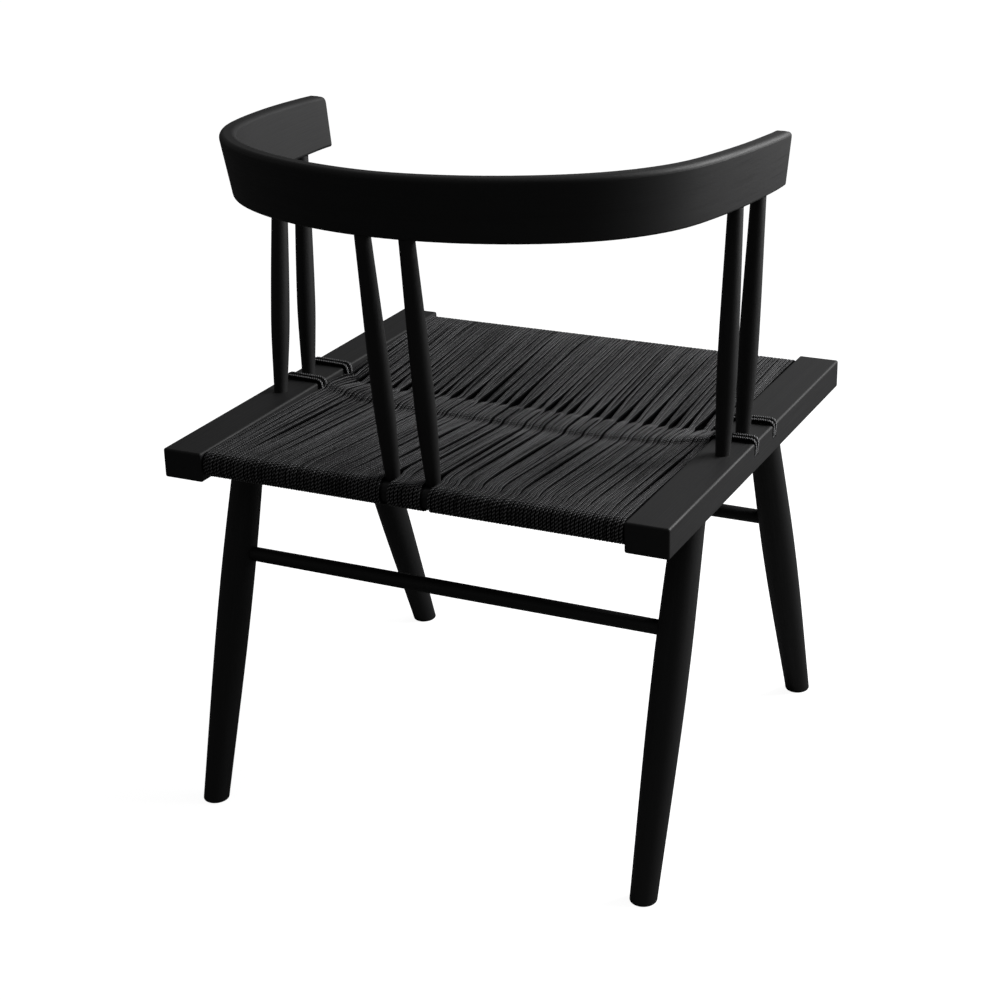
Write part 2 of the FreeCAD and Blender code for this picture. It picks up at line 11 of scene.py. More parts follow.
import bmesh
import bpy
import numpy as np
from mathutils import Matrix, Vector


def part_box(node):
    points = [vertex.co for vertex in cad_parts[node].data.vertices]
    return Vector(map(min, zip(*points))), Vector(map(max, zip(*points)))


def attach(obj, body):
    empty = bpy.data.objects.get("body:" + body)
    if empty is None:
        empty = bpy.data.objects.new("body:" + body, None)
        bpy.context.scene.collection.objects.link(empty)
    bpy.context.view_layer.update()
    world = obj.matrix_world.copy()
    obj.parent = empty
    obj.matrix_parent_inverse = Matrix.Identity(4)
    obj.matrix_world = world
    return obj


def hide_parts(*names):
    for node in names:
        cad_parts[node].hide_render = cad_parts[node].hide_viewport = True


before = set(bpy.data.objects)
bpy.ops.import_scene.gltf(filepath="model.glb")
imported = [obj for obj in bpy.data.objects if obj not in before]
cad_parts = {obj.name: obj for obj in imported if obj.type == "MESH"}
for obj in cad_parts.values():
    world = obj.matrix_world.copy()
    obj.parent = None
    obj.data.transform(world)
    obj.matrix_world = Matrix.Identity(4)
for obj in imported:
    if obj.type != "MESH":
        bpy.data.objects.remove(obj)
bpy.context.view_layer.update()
MM = 0.001

# %% [markdown]
# Places are read off the frame's pieces in millimetres. They could be typed in as numbers, but then
# the cords would stay behind when the frame changes. The left rail, the seat's plain sleeve and the
# two binder bands give nearly all of them.

# %% Places on the frame
def extent(node):
    """Lowest and highest corner of a CAD piece, in millimetres."""
    return [Vector(corner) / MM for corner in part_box(node)]


(rail_inner, rail_front, rail_under), (rail_outer, rail_rear, rail_top) = extent("left_side_rail")
sleeve_low, sleeve_high = extent("seat_cord")
binder_y = {place: sum(extent(f"{place}_binder_cord"), Vector()).y / 2 for place in ("front", "rear")}
print("side rails from", rail_front, "to", rail_rear, "mm, binders at", binder_y)

# %% [markdown]
# The camera stands behind the chair, a little above it and to the sitter's right. A long lens keeps
# the perspective mild. A Track To constraint could aim it, but would also keep it upright, and this
# picture is tilted by about one degree. So the camera's matrix is put together from an azimuth, an
# elevation and a roll.

# %% Camera
AZIMUTH = math.radians(205.96)
ELEVATION = math.radians(22.24)
ROLL = math.radians(-1.34)
DISTANCE = 2369.5 * MM
LENS = 73.69
SENSOR = 36
AIM = Vector((24.1, (rail_front + rail_rear) / 2 + 0.5, 304.7)) * MM

away = Vector(
    (
        math.sin(AZIMUTH) * math.cos(ELEVATION),
        -math.cos(AZIMUTH) * math.cos(ELEVATION),
        math.sin(ELEVATION),
    )
)
level = Vector((0, 0, 1)).cross(away).normalized()
upright = away.cross(level)
rolled_level = level * math.cos(ROLL) + upright * math.sin(ROLL)
rolled_upright = upright * math.cos(ROLL) - level * math.sin(ROLL)

camera = bpy.data.objects.new("camera", bpy.data.cameras.new("camera"))
camera.data.sensor_width = SENSOR
camera.data.lens = LENS
turn = Matrix((rolled_level, rolled_upright, away)).transposed().to_4x4()
camera.matrix_world = Matrix.Translation(AIM + away * DISTANCE) @ turn
bpy.context.collection.objects.link(camera)
bpy.context.scene.camera = camera
print("camera at", tuple(round(v, 3) for v in camera.location))

# %% [markdown]
# Finishes are built from shader nodes. They could be wired by hand in the editor; in a script, one
# function adds every node, so that each finish reads as a short list. Its settings are keywords, and
# each input is either a plain value or the output it is linked to. A second function turns the hex
# colours that people write into the linear numbers that shaders use.

# %% Helpers for the finishes
def add(tree, kind, inputs, **settings):
    """Adds a node with its settings, and sets or links its inputs."""
    made = tree.nodes.new(kind)
    for name, value in settings.items():
        setattr(made, name, value)
    for socket, value in inputs.items():
        if isinstance(value, bpy.types.NodeSocket):
            tree.links.new(value, made.inputs[socket])
        else:
            made.inputs[socket].default_value = value
    return made


def colour(code):
    """Linear RGBA of an sRGB hex colour."""
    channels = [int(code[i:i + 2], 16) / 255 for i in (1, 3, 5)]
    linear = [c / 12.92 if c <= 0.04045 else ((c + 0.055) / 1.055) ** 2.4 for c in channels]
    return (*linear, 1.0)


def blank_material(name):
    """A material with no nodes yet, and its tree."""
    made = bpy.data.materials.new(name)
    made.use_nodes = True
    made.node_tree.nodes.clear()
    return made, made.node_tree


print("the grey #808080 is", round(colour("#808080")[0], 3), "as a linear number")

# %% [markdown]
# The wood is beech with a black stain under a thin satin lacquer. Stain sinks unevenly into the
# grain, so the black is broken by faint streaks that run along each piece, and the lacquer follows
# them as shallow furrows. To the eye that gives a dark surface with a soft, slightly broken sheen.
# An image of wood would need a UV map on every piece. Noise that is stretched along the grain needs
# none: a streak is about 1.6 mm wide and 90 mm long, and clouds several streaks wide vary it.

# %% Black-stained beech
STREAK = Vector((90, 1.6, 1.6)) * MM
CLOUD_SCALE = 0.15
STAIN_DARK = "#0a0a0b"
STAIN_LIGHT = "#1e1e1f"


def finish_beech(tree, along_grain):
    """Shades streaks, lacquer gloss and furrows from coordinates in which X runs along the grain."""
    streaks = add(
        tree, "ShaderNodeTexNoise", {"Vector": along_grain, "Scale": 1.0, "Detail": 4.0, "Roughness": 0.6}
    )
    cloud = add(
        tree, "ShaderNodeTexNoise", {"Vector": along_grain, "Scale": CLOUD_SCALE, "Detail": 2.0}
    )
    both = add(
        tree, "ShaderNodeMath", {0: streaks.outputs["Fac"], 1: cloud.outputs["Fac"]}, operation="MULTIPLY"
    )
    stain = add(
        tree,
        "ShaderNodeMix",
        {"Factor": both.outputs[0], 6: colour(STAIN_DARK), 7: colour(STAIN_LIGHT)},
        data_type="RGBA",
    )
    gloss = add(
        tree,
        "ShaderNodeMapRange",
        {"Value": streaks.outputs["Fac"], "From Min": 0.3, "From Max": 0.7, "To Min": 0.54, "To Max": 0.7},
    )
    furrows = add(
        tree,
        "ShaderNodeBump",
        {"Height": streaks.outputs["Fac"], "Strength": 0.15, "Distance": 0.1 * MM},
    )
    lacquer = add(
        tree,
        "ShaderNodeBsdfPrincipled",
        {
            "Base Color": stain.outputs[2],
            "Roughness": gloss.outputs[0],
            "Normal": furrows.outputs[0],
            "IOR": 1.45,
        },
    )
    add(tree, "ShaderNodeOutputMaterial", {"Surface": lacquer.outputs[0]})


print("a streak of stain is", tuple(round(size / MM, 1) for size in STREAK), "mm")

# %% [markdown]
# Rails, legs and spindles point in different directions, and their grain points with them. Each could
# have a finish of its own, but only the direction differs. The Mapping node is of the Texture type,
# which turns first and then divides by the size of one streak, so one function serves them all.

# %% Grain along a straight piece
def stained_beech(name, grain):
    """Black-stained beech whose grain runs along a direction."""
    made, tree = blank_material(name)
    place = add(tree, "ShaderNodeTexCoord", {})
    facing = Vector((1, 0, 0)).rotation_difference(Vector(grain)).to_euler()
    along = add(
        tree,
        "ShaderNodeMapping",
        {"Vector": place.outputs["Object"], "Rotation": facing, "Scale": STREAK},
        vector_type="TEXTURE",
    )
    finish_beech(tree, along.outputs[0])
    print(name, "has grain along", tuple(round(part, 2) for part in grain))
    return made


# %% [markdown]
# The crest rail is steam-bent, so its grain bends with it, and straight streaks would run out of its
# curved faces. Here the angle about the middle of the bend, times its radius, gives the distance
# along the rail, and the streaks are stacked by height. The bend isn't quite a circle, but streaks
# this faint don't show the difference.

# %% Grain round the crest rail
CREST_MIDDLE_Y = -45 * MM
CREST_RADIUS = 310 * MM


def bent_beech(name):
    """Black-stained beech whose grain follows the bent crest rail."""
    made, tree = blank_material(name)
    place = add(tree, "ShaderNodeTexCoord", {})
    from_middle = add(
        tree,
        "ShaderNodeMapping",
        {"Vector": place.outputs["Object"], "Location": (0, -CREST_MIDDLE_Y, 0)},
    )
    parts = add(tree, "ShaderNodeSeparateXYZ", {"Vector": from_middle.outputs[0]})
    angle = add(
        tree, "ShaderNodeMath", {0: parts.outputs["X"], 1: parts.outputs["Y"]}, operation="ARCTAN2"
    )
    length = add(
        tree, "ShaderNodeMath", {0: angle.outputs[0], 1: CREST_RADIUS}, operation="MULTIPLY"
    )
    straight = add(tree, "ShaderNodeCombineXYZ", {"X": length.outputs[0], "Z": parts.outputs["Z"]})
    along = add(
        tree,
        "ShaderNodeMapping",
        {"Vector": straight.outputs[0], "Scale": STREAK},
        vector_type="TEXTURE",
    )
    finish_beech(tree, along.outputs[0])
    print(name, "has grain round a bend of", CREST_RADIUS / MM, "mm")
    return made


# %% [markdown]
# Every wooden piece now gets the finish whose grain runs along it. The pieces could be listed one by
# one, but their names end in the kind of piece they are, so a loop over the kinds finds them all. The
# legs lean forwards and backwards, and their grain leans with them.

# %% Dress the wooden pieces
FRONT_SPLAY = math.radians(22.7)
REAR_SPLAY = math.radians(17.5)
FRONT_LEG = (0, math.sin(FRONT_SPLAY), math.cos(FRONT_SPLAY))
REAR_LEG = (0, -math.sin(REAR_SPLAY), math.cos(REAR_SPLAY))
GRAINS = {
    "side_rail": (0, 1, 0),
    "cross_rail": (1, 0, 0),
    "stretcher": (1, 0, 0),
    "spindle": (0, 0, 1),
    "front_left_leg": FRONT_LEG,
    "front_right_leg": FRONT_LEG,
    "rear_left_leg": REAR_LEG,
    "rear_right_leg": REAR_LEG,
}
finishes = {kind: stained_beech(f"stained_beech_{kind}", grain) for kind, grain in GRAINS.items()}
finishes["crest_rail"] = bent_beech("stained_beech_crest_rail")
for node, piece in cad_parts.items():
    for kind, finish in finishes.items():
        if node.endswith(kind):
            for held in piece.material_slots:
                held.material = finish
            print(node, "is finished as", finish.name)

# %% [markdown]
# Paper cord is strips of kraft paper twisted hard into a string, three strings laid together and dyed
# black. It is dry and matt, with a speckle of fibres along the lay, and wear fades some stretches more
# than others. Object coordinates would cut straight through the bends, so every vertex of a cord keeps
# the place it had on the straight cord in an attribute, and the patterns are read from that. Real
# fibres are finer than a pixel here, so they are drawn about 3 mm long and 1 mm wide to show.

# %% Speckle of the paper
FIBRE = Vector((3, 1, 1)) * MM
WORN_SPOT = Vector((160, 8, 8)) * MM

paper_cord, cord_tree = blank_material("black_paper_cord")
lain = add(cord_tree, "ShaderNodeAttribute", {}, attribute_name="straight_place")
fibre_place = add(
    cord_tree,
    "ShaderNodeMapping",
    {"Vector": lain.outputs["Vector"], "Scale": FIBRE},
    vector_type="TEXTURE",
)
fibres = add(cord_tree, "ShaderNodeTexNoise", {"Vector": fibre_place.outputs[0], "Scale": 1.0, "Detail": 3.0})
worn_place = add(
    cord_tree,
    "ShaderNodeMapping",
    {"Vector": lain.outputs["Vector"], "Scale": WORN_SPOT},
    vector_type="TEXTURE",
)
worn = add(cord_tree, "ShaderNodeTexNoise", {"Vector": worn_place.outputs[0], "Scale": 1.0, "Detail": 2.0})
shade = add(
    cord_tree, "ShaderNodeMath", {0: fibres.outputs["Fac"], 1: worn.outputs["Fac"]}, operation="ADD"
)
shade_range = add(
    cord_tree, "ShaderNodeMapRange", {"Value": shade.outputs[0], "From Min": 0.68, "From Max": 1.12}
)
print("a worn stretch is about", round(WORN_SPOT.x / MM), "mm long")

# %% [markdown]
# The outside of the winding gets painted light, as if light fell on it, most on the ridges of the
# plies, and sitting burnishes it to more shine. Between the plies and inside the seat the cord gets
# painted shade, black and dull, which makes single cords stand apart to the eye. This could be painted
# by hand, on more than a hundred turns. But on the straight cord the outside is simply the +Z side, and
# the distance from its axis tells a ridge from a valley.

# %% Painted light on outsides, painted shade in valleys
CORD_RADIUS = 2.45
PLY_VALLEY = 0.78

straight_axes = add(cord_tree, "ShaderNodeSeparateXYZ", {"Vector": lain.outputs["Vector"]})
# painted light: the outside of the cord, its +Z side, is painted paler; the same mask raises the shine below
painted_lit_outside = add(
    cord_tree,
    "ShaderNodeMapRange",
    {"Value": straight_axes.outputs["Z"], "From Min": 0.5 * CORD_RADIUS * MM, "From Max": CORD_RADIUS * MM},
)
section_place = add(
    cord_tree, "ShaderNodeVectorMath", {0: lain.outputs["Vector"], 1: (0, 1, 1)}, operation="MULTIPLY"
)
off_axis = add(cord_tree, "ShaderNodeVectorMath", {0: section_place.outputs[0]}, operation="LENGTH")
# painted shade: the valleys between the plies are painted darker, and only the ridges keep the painted light
painted_lit_ridges = add(
    cord_tree,
    "ShaderNodeMapRange",
    {
        "Value": off_axis.outputs["Value"],
        "From Min": CORD_RADIUS * PLY_VALLEY * MM,
        "From Max": CORD_RADIUS * MM,
    },
)
# painted light where the outside and a ridge meet, painted shade everywhere else
painted_light_mask = add(
    cord_tree, "ShaderNodeMath", {0: painted_lit_outside.outputs[0], 1: painted_lit_ridges.outputs[0]}, operation="MULTIPLY"
)
burnish = add(
    cord_tree, "ShaderNodeMapRange", {"Value": painted_lit_outside.outputs[0], "To Min": 0.05, "To Max": 0.6}
)
print("a cord is", 2 * CORD_RADIUS, "mm thick over its plies, and between them", PLY_VALLEY, "of that")

# %% [markdown]
# Now the colour: black in the painted shade, pale grey only where the painted light meets the
# lightest fibres and worn stretches, so that the cord as a whole still looks black. The index of
# refraction is lower than that of solid paper, because a rough, porous surface mirrors less.

# %% Black paper cord
CORD_DARK = "#070708"
# the pale grey of the painted light on the outsides
CORD_PAINTED_LIGHT = "#c8c8ca"

# speckle and worn stretches, times the mask of painted light
worn_and_painted_light = add(
    cord_tree, "ShaderNodeMath", {0: shade_range.outputs[0], 1: painted_light_mask.outputs[0]}, operation="MULTIPLY"
)
# black dye, with painted light in pale grey on the outsides of the ridges
dye_and_painted_light = add(
    cord_tree,
    "ShaderNodeMix",
    {"Factor": worn_and_painted_light.outputs[0], 6: colour(CORD_DARK), 7: colour(CORD_PAINTED_LIGHT)},
    data_type="RGBA",
)
fibre_bump = add(
    cord_tree,
    "ShaderNodeBump",
    {"Height": fibres.outputs["Fac"], "Strength": 0.5, "Distance": 0.2 * MM},
)
paper = add(
    cord_tree,
    "ShaderNodeBsdfPrincipled",
    {
        "Base Color": dye_and_painted_light.outputs[2],
        "Normal": fibre_bump.outputs[0],
        "Roughness": 0.7,
        "IOR": 1.35,
        "Specular IOR Level": burnish.outputs[0],
    },
)
add(cord_tree, "ShaderNodeOutputMaterial", {"Surface": paper.outputs[0]})
print(paper_cord.name, "has", len(cord_tree.nodes), "nodes")

# %% [markdown]
# A laid cord has three ridges that wind round it. Its section is a small six-pointed outline, out
# over each ply and in between two of them. Spinning that outline about X while it also steps along
# X leaves a screw-shaped surface behind it, which is what twisting the plies does. A bump in the
# material would be less work, but would leave the cord's edge straight. The twisted faces aren't
# flat, so they are split along the shorter diagonal, which runs with the plies. Only one short
# length is spun, because a spin slows down as its mesh grows.

# %% A straight length of twisted cord
STRAND_RADIUS = 2.6
SEAT_LAY = 11
BINDER_LAY = 9
PLIES = 3
RINGS_PER_LAY = 6
LAYS = 30


def twisted_length(name, radius, lay):
    """Mesh of one straight length of laid cord along X, open at both ends; sizes in millimetres."""
    shape = bmesh.new()
    outline = []
    for corner in range(2 * PLIES):
        reach = radius * MM if corner % 2 == 0 else radius * MM * PLY_VALLEY
        angle = math.tau * corner / (2 * PLIES)
        outline.append(shape.verts.new((0, reach * math.cos(angle), reach * math.sin(angle))))
    sides = [shape.edges.new(pair) for pair in zip(outline, outline[1:] + outline[:1])]
    bmesh.ops.spin(
        shape,
        geom=outline + sides,
        axis=(1, 0, 0),
        dvec=(lay * MM / RINGS_PER_LAY, 0, 0),
        angle=math.tau * LAYS,
        steps=LAYS * RINGS_PER_LAY,
    )
    bmesh.ops.triangulate(shape, faces=shape.faces, quad_method="SHORT_EDGE")
    bmesh.ops.recalc_face_normals(shape, faces=shape.faces)
    made = bpy.data.meshes.new(name)
    shape.to_mesh(made)
    shape.free()
    print(name, "has", len(made.polygons), "faces over", LAYS * lay, "mm")
    return made


seat_twist = twisted_length("seat_twist", CORD_RADIUS, SEAT_LAY)
binder_twist = twisted_length("binder_twist", STRAND_RADIUS, BINDER_LAY)

# %% [markdown]
# A long cord is that short length again and again. Copies could be joined one by one, but an Array
# modifier repeats the length end to end and merges the seams in one go. The two open ends are then
# filled, so that the cord is a closed piece.

# %% A long straight cord
def long_cord(name, twist, reach):
    """Mesh of about that many metres of straight cord, in whole lengths, closed at both ends."""
    length = max(vertex.co.x for vertex in twist.vertices)
    straight = bpy.data.objects.new("straight", twist)
    bpy.context.collection.objects.link(straight)
    repeat = straight.modifiers.new("end_to_end", "ARRAY")
    repeat.count = max(1, round(reach / length))
    repeat.use_relative_offset = False
    repeat.use_constant_offset = True
    repeat.constant_offset_displace = (length, 0, 0)
    repeat.use_merge_vertices = True
    repeat.merge_threshold = 0.01 * MM
    ready = straight.evaluated_get(bpy.context.evaluated_depsgraph_get())
    mesh = bpy.data.meshes.new_from_object(ready)
    mesh.name = name
    print(name, "is made of", repeat.count, "lengths")
    bpy.data.objects.remove(straight)

    shape = bmesh.new()
    shape.from_mesh(mesh)
    ends = [edge for edge in shape.edges if edge.is_boundary]
    bmesh.ops.holes_fill(shape, edges=ends, sides=2 * PLIES)
    shape.to_mesh(mesh)
    shape.free()
    return mesh


# %% [markdown]
# A cord's route is a smooth NURBS curve that follows a few given points. Blender draws the curve
# as a chain of short edges, and that chain is read back. The curve could also carry a round bevel of
# its own, but that would be a smooth tube without plies.

# %% Draw a route
def drawn_route(points):
    """The points of a smooth curve that follows control points in millimetres, as Blender draws it."""
    curve = bpy.data.curves.new("route", "CURVE")
    curve.dimensions = "3D"
    line = curve.splines.new("NURBS")
    line.points.add(len(points) - 1)
    for control, place in zip(line.points, points):
        control.co = (*(Vector(place) * MM), 1)
    line.order_u = 3
    line.use_endpoint_u = True
    line.resolution_u = 12
    holder = bpy.data.objects.new("route", curve)
    drawn = bpy.data.meshes.new_from_object(holder)
    chain = np.empty(3 * len(drawn.vertices))
    drawn.vertices.foreach_get("co", chain)
    print("a route of", len(points), "control points is drawn with", len(drawn.vertices))
    bpy.data.objects.remove(holder)
    bpy.data.curves.remove(curve)
    bpy.data.meshes.remove(drawn)
    return chain.reshape(-1, 3)


def distances(chain):
    """Distance of each point from the chain's start, along the chain."""
    steps = np.linalg.norm(np.diff(chain, axis=0), axis=1)
    return np.concatenate(([0.0], np.cumsum(steps)))


# %% [markdown]
# Now the straight cord is bent along the chain: each vertex goes to the point as far along the chain
# as it was along the cord, and keeps its offset sideways and upwards. A Curve modifier does much the
# same, but it would turn the cord about its axis in places, and the side with painted light has to stay
# outside.
# The facets are shaded flat, because smooth shading would blur the narrow valleys between the plies.

# %% Lay a cord along a route
def unit(vectors):
    """The same directions with a length of one."""
    return vectors / np.linalg.norm(vectors, axis=1, keepdims=True)


def bend(place, chain, sideways):
    """Moves places on a straight cord along X onto a chain; the cord's Y stays close to sideways."""
    run = distances(chain)
    forward = unit(np.gradient(chain, run, axis=0))
    aside = unit(sideways - (forward @ sideways)[:, None] * forward)
    rise = np.cross(forward, aside)
    at = [[np.interp(place[:, 0], run, line[:, k]) for k in range(3)] for line in (chain, aside, rise)]
    centre, aside, rise = (np.array(line).T for line in at)
    return centre + unit(aside) * place[:, 1:2] + unit(rise) * place[:, 2:3]


def lay_cord(name, chain, sideways, twist, node):
    """A twisted cord bent along a chain of points, as a piece that replaces a CAD node."""
    reach = distances(chain)[-1]
    mesh = long_cord(name, twist, reach)
    place = np.empty(3 * len(mesh.vertices))
    mesh.vertices.foreach_get("co", place)
    place = place.reshape(-1, 3)
    place[:, 0] *= reach / place[:, 0].max()
    kept = mesh.attributes.new("straight_place", "FLOAT_VECTOR", "POINT")
    kept.data.foreach_set("vector", place.ravel())
    mesh.vertices.foreach_set("co", bend(place, chain, sideways).ravel())
    mesh.shade_flat()
    mesh.update()

    piece = bpy.data.objects.new(name, mesh)
    piece.data.materials.append(paper_cord)
    bpy.context.collection.objects.link(piece)
    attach(piece, "root")
    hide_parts(node)
    print(name, "is", round(reach, 2), "m of cord in", len(mesh.polygons), "faces")


# %% [markdown]
# The seat is one long cord wound round the front and rear cross rails, about a hundred turns side by
# side. The turns lie evenly on the front rail. On the rear rail they part round the two back
# spindles, so two long narrow gaps run forward from the spindles and close towards the middle of the
# seat. The cord moves on by one turn under the seat, so the bottom turns lie half a turn over and
# close the gaps between the top turns. One turn could be copied by an Array, but no two turns of a
# wound seat are alike, so each gets places of its own.

# %% Where each turn lies, from side to side
rng = np.random.default_rng(11)
SIDE_TURNS = 50
MIDDLE_TURNS = 9
TURNS = 2 * SIDE_TURNS + MIDDLE_TURNS
BESIDE_RAIL = 0.8
EDGE = sleeve_high.x - CORD_RADIUS - BESIDE_RAIL
PITCH = 2 * EDGE / (TURNS - 1)
SPINDLE_X = 23.5
PAST_SPINDLE = 10.4
PAST_STRIP = 6.0
PAST_GAP = 3.2

under_x = np.linspace(-EDGE, EDGE, TURNS)
even_x = under_x + rng.normal(0, 0.2, TURNS)


def parted_x(clear):
    """Places of the turns on the rear rail, kept clear of both spindles."""
    right = np.linspace(-EDGE, -SPINDLE_X - clear, SIDE_TURNS)
    middle = np.linspace(-SPINDLE_X + clear, SPINDLE_X - clear, MIDDLE_TURNS)
    return np.concatenate((right, middle, -right[::-1])) + rng.normal(0, 0.15, TURNS)


spindle_x = parted_x(PAST_SPINDLE)
rear_x = parted_x(PAST_STRIP)
closed_x = parted_x(PAST_GAP)
print(TURNS, "turns,", round(PITCH, 2), "mm apart on the front rail")

# %% [markdown]
# Hand-wound turns are never quite even. They lie in bunches of a few, with thin dark lines between
# the bunches. The front binder also draws each bunch together, so that a row of dark wedges opens in
# front of it. A bunch could be drawn by hand; here a random number of neighbours moves towards their
# common middle, and the fixed seed above gives the same seat on every run.

# %% Bunches
FRONT_BUNCHES = (3, 3, 3, 4, 4, 2)
REAR_BUNCHES = (2, 3, 5, 4, 3, 6)


def shift_to_bunches(sizes):
    """How far each turn would move sideways to lie in the middle of its bunch."""
    shift = np.zeros(TURNS)
    start = 0
    while start < TURNS:
        bunch = slice(start, min(start + rng.choice(sizes), TURNS))
        middle = even_x[bunch].mean() + rng.normal(0, 0.7)
        shift[bunch] = (middle - even_x[bunch]) * rng.uniform(0.6, 1.1)
        start = bunch.stop
    return shift


front_shift = shift_to_bunches(FRONT_BUNCHES)
rear_shift = shift_to_bunches(REAR_BUNCHES)
print("bunches move turns by up to", round(abs(front_shift).max(), 1), "mm")

# %% [markdown]
# Two binder cords cross inside the seat, between the bottom turns and the top turns, and the top turns
# are drawn down onto them. So the seat is hollow: straight slopes fall from both cross rails to the
# binders, with a low ridge between these. Beside the side rails the turns dip only a third to half as
# far. Turns that are squeezed into a bunch ride up on each other a little, and the outermost ones lean
# away from the rails and let the binders through. Cloth simulation could settle all this, but would
# take far longer than a few shares of one depth.

# %% Dips
DIP = 18.0
STACKED = 0.35
LEAN = -1.5
LEANING = 14

lift = rng.normal(0, 0.5, (TURNS, 2))
front_share = np.interp(abs(even_x), (170, 222, EDGE), (1.0, 0.85, 0.45))
rear_share = np.interp(abs(even_x), (110, 190, EDGE), (1.0, 0.8, 0.3))
front_dip = DIP * front_share - STACKED * abs(front_shift) + rng.normal(0, 0.5, TURNS)
rear_dip = DIP * rear_share + rng.normal(0, 0.25, TURNS)
lean = np.sign(even_x) * np.interp(abs(even_x), (EDGE - LEANING, EDGE), (0, LEAN))
print("the seat dips by up to", round(front_dip.max(), 1), "mm")

# %% [markdown]
# One turn of the route climbs behind the rear rail, runs forward over the top, drops in front of the
# front rail and comes back underneath. Its points are listed one by one, closer together at the
# binders where the cord bends. Corner points stand a little outside the rails, because the smooth
# curve cuts inside its corners. Each point on the top run also says how far it follows the bunches.

# %% The seat cord's route
FRONT_RIDGE = 3.0
REAR_RIDGE = 4.5
RIDGE_START = 10
RIDGE_END = 7
SAG = 4.2
BOW = 7.0
CORNER = 0.3
IN_FACE = 1.8
IN_TOP = 2
PAST_CORNER = 26
TOP = sleeve_high.z - IN_TOP
BOTTOM = sleeve_low.z + IN_TOP
REAR_FACE = sleeve_high.y - IN_FACE
REAR_INSIDE = REAR_FACE - PAST_CORNER
REAR_EDGE = extent("rear_cross_rail")[0].y
FRONT_FACE = sleeve_low.y + IN_FACE
FRONT_INSIDE = FRONT_FACE + PAST_CORNER
FRONT_EDGE = extent("front_cross_rail")[1].y


def turn_points(i):
    """Control points of one turn, from under the rear rail, over the top and under the front rail."""
    front, rear, spindle, closed, under = even_x[i], rear_x[i], spindle_x[i], closed_x[i], under_x[i]
    first = binder_y["front"] + BOW * front_share[i]
    second = binder_y["rear"] + BOW * rear_share[i]
    behind, ahead = first + RIDGE_START, second - RIDGE_END
    behind_dip, ahead_dip = DIP * front_share[i] - FRONT_RIDGE, rear_dip[i] - REAR_RIDGE
    front_lift, rear_lift = lift[i]

    def top(y, front_gather, rear_gather=0.0, raised=0.0, aside=0.0):
        """A point on the top run, drawn down to the binders and sideways to the bunches."""
        straight = np.interp(y, (first, REAR_EDGE), (front, closed))
        gathered = front_shift[i] * front_gather + rear_shift[i] * rear_gather
        dip = np.interp(
            y,
            (FRONT_EDGE, first, behind, ahead, second, REAR_EDGE),
            (0, front_dip[i], behind_dip, ahead_dip, rear_dip[i], 0),
        )
        return (straight + gathered + aside, y, TOP - dip + raised)

    return [
        (under - PITCH / 2, second, BOTTOM - SAG),
        (under - PITCH / 2, REAR_EDGE - 40, BOTTOM),
        (closed - PITCH / 4, REAR_INSIDE, BOTTOM),
        (rear, REAR_FACE, BOTTOM - CORNER),
        (rear, REAR_FACE, TOP + CORNER),
        (spindle, REAR_INSIDE + 3, TOP),
        top(REAR_EDGE, 0, 0.14),
        top(second + 130, 0, 0.24, rear_lift),
        top(second + 54, 0, 0.24, rear_lift),
        top(second + 12, 0, 0.16),
        top(second, 0.06, 0.1, aside=lean[i]),
        top(ahead, 0.08, 0.1),
        top(behind + 12, 0.12, 0.14),
        top(behind, 0.22, 0.1),
        top(first + 5, 0.55),
        top(first, 0.85, aside=lean[i]),
        top(first - 10, 0.74),
        top(first - 30, 0.46),
        top(first - 60, 0.26, 0, front_lift),
        top(first - 118, 0.16, 0, front_lift),
        top(FRONT_EDGE, 0.1),
        (front, FRONT_INSIDE, TOP),
        (front, FRONT_FACE, TOP + CORNER),
        (front, FRONT_FACE, BOTTOM - CORNER),
        (front + PITCH / 4, FRONT_INSIDE, BOTTOM),
        (under + PITCH / 2, FRONT_EDGE + 40, BOTTOM),
        (under + PITCH / 2, first, BOTTOM - SAG),
    ]


seat_chain = drawn_route([point for i in range(TURNS) for point in turn_points(i)])
print("the seat takes", round(distances(seat_chain)[-1], 1), "m of cord")

# %% [markdown]
# The whole winding is over a hundred metres of cord, too many faces for one piece. So the chain is cut
# into eight lengths that meet end to end, much as new cord is tied on when a length runs out.

# %% Wind the seat
ACROSS_SEAT = np.array((1.0, 0.0, 0.0))
SEAT_LENGTHS = 8
cuts = np.linspace(0, len(seat_chain) - 1, SEAT_LENGTHS + 1).astype(int)
for k, (start, stop) in enumerate(zip(cuts, cuts[1:])):
    lay_cord(f"seat_cord_length_{k + 1}", seat_chain[start:stop + 1], ACROSS_SEAT, seat_twist, "seat_cord")

# %% [markdown]
# Each binder is three strands of the same cord, side by side. They run inside the seat, climb beside
# the side rail, cross its top and drop into a groove in its outer face. There they draw together and
# follow a slanting slot to the underside. Only the left half of a route is listed, and the right half
# mirrors it. The outer strands have their side with painted light outwards and the middle one
# inwards, because three pale strands side by side would look like one band.

# %% Route of a binder strand
STRAND_PITCH = 4.6
GROOVE_DEPTH = 5
GROOVE_LENGTH = 16
OVER_SLOT = 2
LOOSE = 0.2
OVER_RAIL = rail_top + STRAND_RADIUS
GROOVE_LINE = rail_outer - GROOVE_DEPTH + STRAND_RADIUS + LOOSE
GROOVE_END = rail_top - GROOVE_LENGTH
SLOT_END = rail_under + OVER_SLOT
RUN_HEIGHT = BOTTOM - SAG + CORD_RADIUS + STRAND_RADIUS


